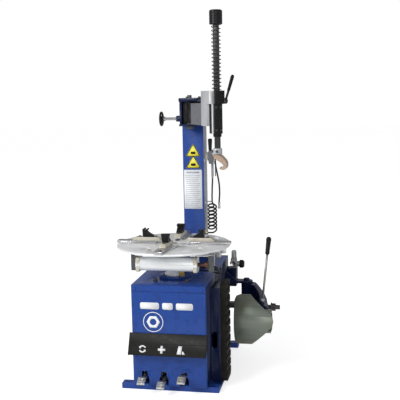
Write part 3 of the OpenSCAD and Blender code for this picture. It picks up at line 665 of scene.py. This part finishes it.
def add_turntable():
    """Looks of the turntable, with guards and bolts on the jaws and end blocks on the barrels."""
    dress("disc", "turntable_disc", edge=0.002)
    dress("steel", "jaw_slide_a", "jaw_slide_b", "jaw_slide_c", "jaw_slide_d", edge=0.0015)
    dress("jaw", "jaw_a", "jaw_b", "jaw_c", "jaw_d", edge=0.002)
    dress("barrel", "front_barrel", "rear_barrel", edge=0.0015)
    dress("blue", "hub_housing", edge=0.0015)
    dress("red_brown", "front_rod", "rear_rod", edge=0.0008)
    base = disc_high.z + 0.0134
    step = 0.0185
    narrow = 0.66
    hat = [(0.107, step), (0.165, step), (0.166, 0.062), (0.158, 0.066), (0.151, 0.054),
           (0.141, 0.064), (0.136, 0.060), (0.144, 0.048), (0.126, 0.036), (0.107, 0.026)]
    bolt = [(0, 0), (0.008, 0), (0.008, 0.004), (0.0065, 0.006), (0.0035, 0.006), (0.003, 0.003),
            (0, 0.003)]
    for key, angle in (("a", 180), ("b", -93), ("c", 87), ("d", 0)):
        turn = Matrix.Rotation(math.radians(angle), 4, "Z")
        guard = prism(hat, -0.0225, 0.0225)
        # The guard flares from two thirds of its width at the foot to all of it at the top
        for v in guard.vertices:
            v.co.z *= narrow + (1 - narrow) * (v.co.y - 0.018) / 0.048
        guard.transform(turn @ upright(0, 0, base))
        add_piece(f"jaw_guard_{key}", guard, "plastic", f"slide_{key}", edge=0.002)
        bolts = [turned(bolt, turn @ Vector((r, 0, base + step)), steps=20)
                 for r in (0.096, 0.184)]
        add_piece(f"jaw_bolts_{key}", joined(bolts), "iron", f"slide_{key}")
    centre = turned([(0, 0), (0.020, 0), (0.020, 0.002), (0.016, 0.0035), (0, 0.0035)],
                    (0, 0, disc_high.z - 0.002), steps=36)
    add_piece("disc_centre", centre, "zinc", "turntable")
    plate = rounded_outline(-0.0375, -0.0375, 0.0375, 0.0375, 0.012)
    for body, name in (("slide_a", "front"), ("slide_d", "rear")):
        low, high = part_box(f"{name}_barrel")
        y, z = (low.y + high.y) / 2, (low.z + high.z) / 2
        ends = [prism(plate, -0.009, 0.009, frame_at((x, y, z), (1, 0, 0), (0, 1, 0)))
                for x in (low.x + 0.010, high.x - 0.010)]
        add_piece(f"{name}_cylinder_ends", joined(ends), "jaw", body, edge=0.0015)
        if name == "front":
            plates = [block((a, y - 0.0155, z - 0.034), (b, y - 0.0135, z + 0.050))
                      for a, b in ((low.x - 0.028, low.x - 0.001), (0.2215, 0.2505))]
            add_piece("front_lug_plates", joined(plates), "iron", body, edge=0.0006)


AIR_HOSE_R = 0.004


def add_hub():
    """The white drum and brass elbow on the hub, the rotary collar and the hoses beside it."""
    drum = turned([(0.0495, 0), (0.0512, 0), (0.0512, 0.011), (0.0425, 0.0135), (0.0425, 0.060),
                   (0.0405, 0.061)], (0, 0, 0.5705))
    add_piece("hub_drum", drum, "white")
    elbow = turned([(0, 0), (0.015, 0), (0.015, 0.016), (0.012, 0.018), (0.012, 0.030),
                    (0.009, 0.032), (0.009, 0.042), (0, 0.042)], (0.050, -0.042, 0.571), steps=6)
    add_piece("hub_elbow", elbow, "brass", edge=0.0008)
    collar = turned([(0.0245, 0), (0.044, 0), (0.046, 0.003), (0.046, 0.016), (0.044, 0.019),
                     (0.0245, 0.019)], (0, 0, 0.640))
    add_piece("rotary_collar", collar, "zinc", "turntable")
    stub = [(0, 0), (0.0085, 0), (0.0085, 0.010), (0.006, 0.012), (0.006, 0.020), (0, 0.020)]
    ports = [turned(stub, (way * 0.040, way * -0.014, 0.650), (way, way * -0.3, 0), steps=6)
             for way in (1, -1)]
    add_piece("collar_ports", joined(ports), "brass", "turntable")
    for name, way, body in (("front", 1, "slide_a"), ("rear", -1, "slide_d")):
        route = smooth_route([(way * x, way * y, z) for x, y, z in
                              ((0.058, -0.019, 0.650), (0.085, -0.028, 0.651),
                               (0.125, -0.055, 0.658), (0.140, -0.095, 0.668),
                               (0.122, -0.128, 0.672), (0.102, -0.148, 0.670))], 8)
        hose = add_piece(f"{name}_cylinder_hose", swept(route, AIR_HOSE_R), "hose", None)
        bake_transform(hose)
    for i in range(3):
        drop = 0.014 * i
        route = smooth_route([(0.044, -0.012, 0.652 - drop / 4), (0.120, -0.040, 0.640 - drop),
                              (0.195, -0.066, 0.636 - drop),
                              (0.236 + drop / 2, -0.100, 0.636 - drop),
                              (0.254 + drop / 2, -0.132, 0.642 - drop),
                              (0.262, -0.166, 0.650 - drop / 2),
                              (0.2515, -0.187, 0.660 - drop / 2)], 8)
        hose = add_piece(f"air_loop_{i}", swept(route, AIR_HOSE_R), "hose", None)
        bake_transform(hose)


# ---- Arm, shaft and mount head -----------------------------------------------------

def arm_place(along, side, z):
    """A place in the swing arm's own directions: along the beam, to its side and up."""
    p = PIVOT + ARM_WAY * along + ARM_SIDE * side
    return Vector((p.x, p.y, z))


def thin_panel(half_w, half_h, r, place):
    """A thin plate with round corners, let into the face that a placing matrix lies on."""
    return prism(rounded_outline(-half_w, -half_h, half_w, half_h, r), -0.001, 0.0008, place)


def add_arm():
    """Looks of the arm, with screws and ribs on its head, white plates of painted light on the
    head's end, and black plates of painted shade on the head's side and round the pivot.
    """
    ahead, beside = (*ARM_WAY, 0), (*-ARM_SIDE, 0)
    dress("arm_grey", "swing_arm", edge=0.004)
    dress("head_grey", "arm_head", edge=0.003)
    dress("plastic", "head_cover", edge=0.004)
    # Painted shade: a black sleeve round the pivot and a black plate on the side of the arm's root
    # stand for the shade inside the bracket
    sleeve = turned([(0.0375, 0), (0.0388, 0.001), (0.0388, 0.123), (0.0375, 0.124)],
                    (*PIVOT, 1.3548))
    root_shade = thin_panel(0.046, 0.058, 0.004, frame_at(arm_place(0.046, -0.028, 1.4165), beside))
    add_piece("pivot_painted_shade", joined([sleeve, root_shade]), "plastic", "arm")
    dress("hex", "hex_shaft", edge=0.0008)
    dress("plastic", "handwheel", edge=0.0015)
    cap = [(0, 0), (0.0049, 0), (0.00546, 0.0007), (0.00546, 0.0042), (0.0049, 0.0049),
           (0.00315, 0.0049), (0.0028, 0.00245), (0, 0.00245)]
    screws = [turned(cap, arm_place(ARM_REACH + 0.0295, side, z), ahead, steps=18)
              for side in (-0.018, 0.009) for z in (1.336, 1.452)]
    add_piece("head_screws", joined(screws), "iron", "arm")
    # Painted light: white plates on the head's end face make it look brightly lit
    faces = [thin_panel(w, h, 0.002, frame_at(arm_place(ARM_REACH + 0.018, side, z), ahead))
             for side, z, w, h in ((-0.0385, 1.5035, 0.0120, 0.0325),
                                   (-0.0320, 1.3940, 0.0045, 0.0745))]
    add_piece("head_end_highlight", joined(faces), "white", "arm")
    # Painted shade: a black strip on the side face of the head
    shade_strip = thin_panel(0.0155, 0.0745, 0.002,
                      frame_at(arm_place(ARM_REACH + 0.0005, -0.037, 1.394), beside))
    add_piece("head_side_shade", shade_strip, "plastic", "arm")
    rib = rounded_outline(-0.021, -0.003, 0.021, 0.003, 0.0028)
    ribs = [prism(rib, -0.001, 0.0015, frame_at(arm_place(ARM_REACH + 0.038, 0.002, z), ahead))
            for z in (1.488, 1.504, 1.520)]
    add_piece("cover_ribs", joined(ribs), "plastic", "arm")
    guide = turned([(0.0175, 0), (0.0205, 0), (0.0215, 0.002), (0.0215, 0.0085),
                    (0.0175, 0.0085)], (*SHAFT, 1.3005))
    add_piece("shaft_wiper", guide, "rubber", "arm")


def add_spring():
    """The return spring, wound in a loop round the shaft."""
    turns, steps, wire = 17, 30, 0.0020
    low = spring_low.z + wire
    high = spring_high.z - wire
    count = turns * steps
    loop = around((spring_high.x - spring_low.x) / 2 - wire, steps)
    route = [(SHAFT.x + loop[i % steps][0], SHAFT.y + loop[i % steps][1],
              low + (high - low) * i / count) for i in range(count + 1)]
    spring = add_piece("spring_coils", swept(route, wire, sides=8), "spring", "arm")
    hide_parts("return_spring")
    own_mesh(spring)


def add_shaft_cap():
    """A grooved boot with a rounded top."""
    low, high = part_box("shaft_cap")
    h = high.z - low.z
    r = 0.0335
    profile = [(0, 0), (0.0318, 0), (r, 0.002)]
    for i in range(7):
        z = 0.008 + 0.0075 * i
        profile += [(r, z), (0.0322, z + 0.0014), (r, z + 0.0028)]
    profile += [(r, h - 0.010), (0.0320, h - 0.004), (0.0270, h - 0.0008), (0, h)]
    cap = add_piece("cap_boot", turned(profile, (*SHAFT, low.z), steps=56), "hose", "shaft")
    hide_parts("shaft_cap")


def add_mount_head():
    """A cast mount head: a clamp socket with two bolts and a bill that hooks under the bead."""
    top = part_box("mount_head")[1].z
    x, y = SHAFT
    socket = turned([(0, 0), (0.0225, 0), (0.024, 0.0015), (0.024, 0.028), (0.0225, 0.031),
                     (0.0185, 0.0325), (0, 0.0325)], (x, y, top - 0.0325), steps=40)
    add_piece("head_socket", socket, "head_grey", "shaft")
    bill = [(-18, -34), (2, -33), (20, -38), (36, -53), (48, -70), (50.5, -92), (43, -107),
            (30, -110.5), (15, -105), (14, -98.5), (30, -97), (33, -86), (20, -73), (-6, -56),
            (-18, -42), (-18, -34)]
    curve = smooth_route([(a / 1000, b / 1000, 0) for a, b in bill], 4)
    hook = add_piece("head_bill", prism([(q.x, q.y) for q in curve[:-1]], -0.0335, 0.0335,
                                        upright(x, y, top)), "bronze", "shaft", edge=0.004)
    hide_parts("mount_head")
    bolts = [turned([(0, 0), (0.009, 0), (0.009, 0.007), (0, 0.007)],
                    (x - 0.0235, y, top - 0.016), (-1, 0, 0), steps=6),
             turned([(0, 0), (0.008, 0), (0.008, 0.006), (0, 0.006)],
                    (x, y - 0.0235, top - 0.016), (0, -1, 0), steps=6)]
    add_piece("head_bolts", joined(bolts), "iron", "shaft", edge=0.0006)


def grip_profile(radius, length):
    """A hand grip: a collar, a ribbed middle that swells and a round end."""
    points = [(0.0, 0.0), (0.55, 0.0), (0.80, 0.03), (0.86, 0.10)]
    grooves, depth = 9, 0.09
    for i in range(grooves):
        h = 0.14 + 0.62 * i / grooves
        swell = 0.86 + 0.14 * i / grooves
        points += [(swell, h), (swell - depth, h + 0.018), (swell - depth, h + 0.034),
                   (swell, h + 0.050)]
    points += [(x, 0.86 + 0.14 * y) for x, y in (polar(1, a) for a in (0, 22, 45, 66, 82))]
    return [(radius * r, length * h) for r, h in points + [(0, 1)]]


def add_lever(name, node, look, foot, way, rod, grip, grip_from):
    """A bar with a hand grip, in place of the plain node; rod and grip are (radius, length)."""
    body = name
    radius, length = rod
    bar = add_piece(f"{name}_bar", turned([(0, 0), (radius, 0), (radius, length), (0, length)],
                                          foot, way, steps=20), look, body)
    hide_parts(node)
    add_piece(f"{name}_grip", turned(grip_profile(*grip), foot + way * grip_from, way, steps=32),
              "plastic", body)


# The leans, in radians, of the breaker's handle from upright and of the lock lever's bar
HANDLE_LEAN = math.radians(6)
LOCK_LEAN = math.radians(18)
HANDLE_WAY = Vector((math.sin(HANDLE_LEAN), 0, math.cos(HANDLE_LEAN)))
LEVER_ROD_R = 0.006


def add_levers():
    """The handle on the breaker's arm, and the shaft's lock lever with its boss."""
    add_lever("breaker", "bead_handle", "zinc", Vector((0.450, 0.165, 0.370)), HANDLE_WAY,
              (LEVER_ROD_R, 0.30), (0.014, 0.098), 0.285)
    hub = arm_place(ARM_REACH, 0.0384, 1.484)
    out = Vector((*ARM_SIDE, 0))
    way = out * math.sin(LOCK_LEAN) + Vector((0, 0, 1)) * math.cos(LOCK_LEAN)
    add_lever("lock", "lock_lever", "hex", hub + out * 0.010, way,
              (LEVER_ROD_R, 0.070), (0.0095, 0.088), 0.052)
    boss = turned([(0, 0), (0.0135, 0), (0.015, 0.0015), (0.015, 0.014), (0.012, 0.018),
                   (0.006, 0.018), (0.005, 0.014), (0, 0.014)], hub, out, steps=36)
    add_piece("lock_boss", boss, "hex", "lock")


# ---- Bead breaker ------------------------------------------------------------------

def add_breaker():
    """Looks of the blade and rod, the nut and thread on the rod's end and two small parts."""
    dress("blade", "bead_blade", edge=0.002, angle=40)
    dress("iron", "bead_rod", edge=0.001)
    rod_low, rod_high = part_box("bead_rod")
    y, z = (rod_low.y + rod_high.y) / 2, (rod_low.z + rod_high.z) / 2
    nut = turned([(0.0128, 0), (0.0205, 0), (0.022, 0.002), (0.022, 0.016), (0.0205, 0.018),
                  (0.0128, 0.018)], (0.4965, y, z), (1, 0, 0), steps=6)
    add_piece("breaker_rod_nut", nut, "red_brown", "breaker_rod", edge=0.0008)
    thread = [(0, 0)]
    for i in range(7):
        thread += [(0.0126, 0.003 * i), (0.0114, 0.003 * i + 0.0015)]
    thread += [(0.0126, 0.0215), (0.0100, 0.0235), (0, 0.0235)]
    add_piece("breaker_rod_thread", turned(thread, (0.5155, y, z), (1, 0, 0), steps=32),
              "red_brown", "breaker_rod")
    button = turned([(0, 0), (0.010, 0), (0.0105, 0.0008), (0.0105, 0.006), (0.0095, 0.007),
                     (0, 0.007)], (pad_high.x - 0.0005, (pad_low.y + pad_high.y) / 2, 0.530),
                    (1, 0, 0), steps=24)
    add_piece("pad_button", button, "rubber")
    collar = turned([(0.0062, 0), (0.011, 0), (0.011, 0.012), (0.009, 0.015), (0.0062, 0.015)],
                    (0.4523, 0.165, 0.392), (math.sin(HANDLE_LEAN), 0, 1), steps=6)
    add_piece("handle_lock_nut", collar, "zinc", "breaker", edge=0.0006)


# ---- Air supply and inflator -------------------------------------------------------

def heading(degrees):
    """A direction in a plane, and the one to its left."""
    return Vector(polar(1, degrees)), Vector(polar(1, degrees + 90))


def gauge(name, centre, r, needle):
    """A pressure gauge's bezel, dial, tick marks and needle, which stands at an angle."""
    place = upright(*centre)
    bezel = turned([(r * 0.86, 0), (r, 0), (r, 0.0025), (r * 0.94, 0.004), (r * 0.86, 0.003)],
                   centre, (0, -1, 0), steps=40)
    add_piece(f"{name}_bezel", bezel, "steel")
    add_piece(f"{name}_dial", prism(around(r * 0.9, 40), 0, 0.001, place), "dial")
    marks = []
    for i in range(11):
        way, side = heading(225 - 27 * i)
        side *= r * (0.03 if i % 5 else 0.05)
        inner, outer = way * r * 0.62, way * r * 0.80
        marks.append(prism([inner - side, outer - side, outer + side, inner + side], 0.001, 0.0014,
                           place))
    way, side = heading(needle)
    side *= r * 0.05
    tail = way * r * 0.15
    marks.append(prism([-side - tail, way * r * 0.7, side - tail], 0.0015, 0.002, place))
    marks.append(prism(around(r * 0.10, 16), 0.001, 0.0028, place))
    add_piece(f"{name}_marks", joined(marks), "ink")


def add_air_supply():
    """Looks of the filter and regulator, with a bowl, a gauge, the knob's ribs and two fittings."""
    dress("bowl", "air_filter", edge=0.002)
    dress("plastic", "regulator_knob", edge=0.002)
    dress("zinc", "column_fittings", edge=0.0008)
    bowl = turned([(0, 0), (0.0150, 0), (0.0160, 0.002), (0.0160, 0.010), (0.0152, 0.012),
                   (0.0152, 0.034), (0.0140, 0.038), (0.0118, 0.0395), (0.0118, 0.044),
                   (0.0100, 0.0478), (0, 0.0478)], (0.246, 0.525, 0.550), steps=40)
    add_piece("filter_bowl", bowl, "bowl")
    gauge("supply_gauge", (0.245, 0.4938, 0.524), 0.0172, 70)
    knob_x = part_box("regulator_knob")[0].x
    knurls = [swept([(knob_x + x, 0.525 + y, 0.517 + z) for x in (0.002, 0.018)], 0.0016, sides=6)
              for y, z in around(0.0224, 20)]
    add_piece("knob_knurls", joined(knurls), "plastic", "knob")
    nipple = turned([(0, 0), (0.007, 0), (0.007, 0.008), (0, 0.008)], (0.2285, 0.530, 0.520),
                    (-1, 0, 0), steps=6)
    add_piece("supply_nipple", nipple, "brass")
    ferrule = turned([(0.0095, 0), (0.012, 0), (0.012, 0.005), (0.0095, 0.005)],
                     (0.1130, 0.4065, 0.724), (-1, 0, 0), steps=28)
    add_piece("hose_ferrule", ferrule, "brass")


def add_gun():
    """The inflator: a tapered grip, a casing, a tube with a lever beside it and a dial gauge."""
    dress("arm_grey", "gun_lever", edge=0.001)
    grip = [(0, 0), (0.0085, 0), (0.0095, 0.006), (0.0100, 0.020), (0.0118, 0.050),
            (0.0122, 0.062), (0.0110, 0.0665), (0.0060, 0.0685), (0, 0.069)]
    piece = add_piece("gun_grip", turned(grip, (0.131, 0.420, 1.199), steps=32), "plastic")
    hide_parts("gun_body")
    casing = prism([(0.123, 1.124), (0.148, 1.120), (0.150, 1.150), (0.150, 1.190),
                    (0.146, 1.199), (0.122, 1.199), (0.118, 1.185), (0.119, 1.150)], 0, 0.020,
                   upright(0, 0.430, 0))
    add_piece("gun_casing", casing, "arm_grey", edge=0.003)
    tube = turned([(0, 0), (0.0045, 0), (0.0060, 0.004), (0.0060, 0.012), (0.0070, 0.016),
                   (0.0070, 0.082), (0, 0.082)], (0.142, 0.420, 1.040), steps=24)
    add_piece("gun_tube", tube, "bowl")
    ears = [block((0.1485, y, 1.1225), (0.1625, y + 0.0034, 1.1375)) for y in (0.4072, 0.4286)]
    ears.append(swept([(0.157, 0.4075, 1.130), (0.157, 0.4318, 1.130)], 0.0029, sides=14))
    add_piece("gun_ears", joined(ears), "zinc", edge=0.0005)
    neck = swept([(0.146, 0.413, 1.186), (0.163, 0.413, 1.186)], 0.0045, sides=14)
    drum = turned([(0, 0), (0.0188, 0), (0.0198, 0.0012), (0.0198, 0.0135), (0.0185, 0.0148),
                   (0, 0.0148)], (0.163, 0.411, 1.186), (0, -1, 0), steps=40)
    outlet = turned([(0, 0), (0.0058, 0), (0.0058, 0.010), (0, 0.010)], (0.163, 0.401, 1.160),
                    steps=6)
    add_piece("gun_gauge_drum", joined([neck, drum, outlet]), "bowl")
    gauge("gun_gauge", (0.163, 0.3985, 1.186), 0.0195, 110)


HOSE_D = 0.009


def spiral_route():
    """The supply hose's centre line: out of its fitting, up the coil and inwards, then the lead."""
    cx, cy, low, high = 0.136, 0.430, 0.719, 0.896
    r = 0.056 / 2 - HOSE_D / 2
    foot = low + 0.005
    turns, steps, tilt = 7, 24, 0.0105
    climb = high - low - 0.022 - HOSE_D / 2
    route = [Vector((0.1145 + 0.0035 * i, cy - r, foot)) for i in range(6)]
    count = turns * steps
    for i in range(count + 1):
        x, y = polar(r, 360 * i / steps - 90)
        route.append(Vector((cx + x, cy + y, foot + climb * i / count + tilt * (1 + y / r))))
    for i in range(1, 15):
        t = i / 14
        x, y = polar(r * (1 - t) ** 1.1, 144 * t - 90)
        route.append(Vector((cx + x, cy + y, foot + climb + (high - low - climb) * t * t)))
    lead = [(0.136, 0.430, 0.925), (0.136, 0.429, 0.940), (0.137, 0.428, 0.955),
            (0.138, 0.426, 0.975), (0.139, 0.424, 0.995), (0.141, 0.422, 1.015),
            (0.142, 0.420, 1.040)]
    return route + smooth_route(lead, 3)


def add_hoses():
    """The spiral supply hose to the gun, and the short hose from the gun to its chuck."""
    route = spiral_route()
    hose = add_piece("spiral_hose", swept(route, HOSE_D / 2), "hose")
    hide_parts("supply_coil", "supply_lead")
    route = smooth_route([(0.163, 0.401, 1.160), (0.163, 0.400, 1.140), (0.165, 0.400, 1.115),
                          (0.169, 0.400, 1.090), (0.174, 0.400, 1.065), (0.179, 0.399, 1.040),
                          (0.183, 0.398, 1.015), (0.185, 0.398, 0.990), (0.186, 0.398, 0.965),
                          (0.185, 0.398, 0.940), (0.183, 0.399, 0.920), (0.182, 0.400, 0.905)], 3)
    delivery = add_piece("delivery_line", swept(route, HOSE_D / 2), "hose")
    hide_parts("delivery_hose")
    chuck = turned([(0, 0), (0.0055, 0), (0.0072, 0.003), (0.0072, 0.012), (0.0055, 0.015),
                    (0.0055, 0.020), (0.0068, 0.022), (0.0068, 0.036), (0.0050, 0.0385),
                    (0, 0.0385)], route[-1] + Vector((0, 0, 0.0005)), (0, 0, -1), steps=24)
    tip = add_piece("chuck_tip", chuck, "steel")
    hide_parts("air_chuck")


# ---- The whole machine -------------------------------------------------------------

add_camera()
add_studio()
add_hoses()
dress_frame()
add_prints()
add_cabinet_trim()
add_signs()
add_pedal_treads()
add_turntable()
add_hub()
add_arm()
add_spring()
add_shaft_cap()
add_mount_head()
add_levers()
add_breaker()
add_air_supply()
add_gun()

bpy.context.view_layer.update()
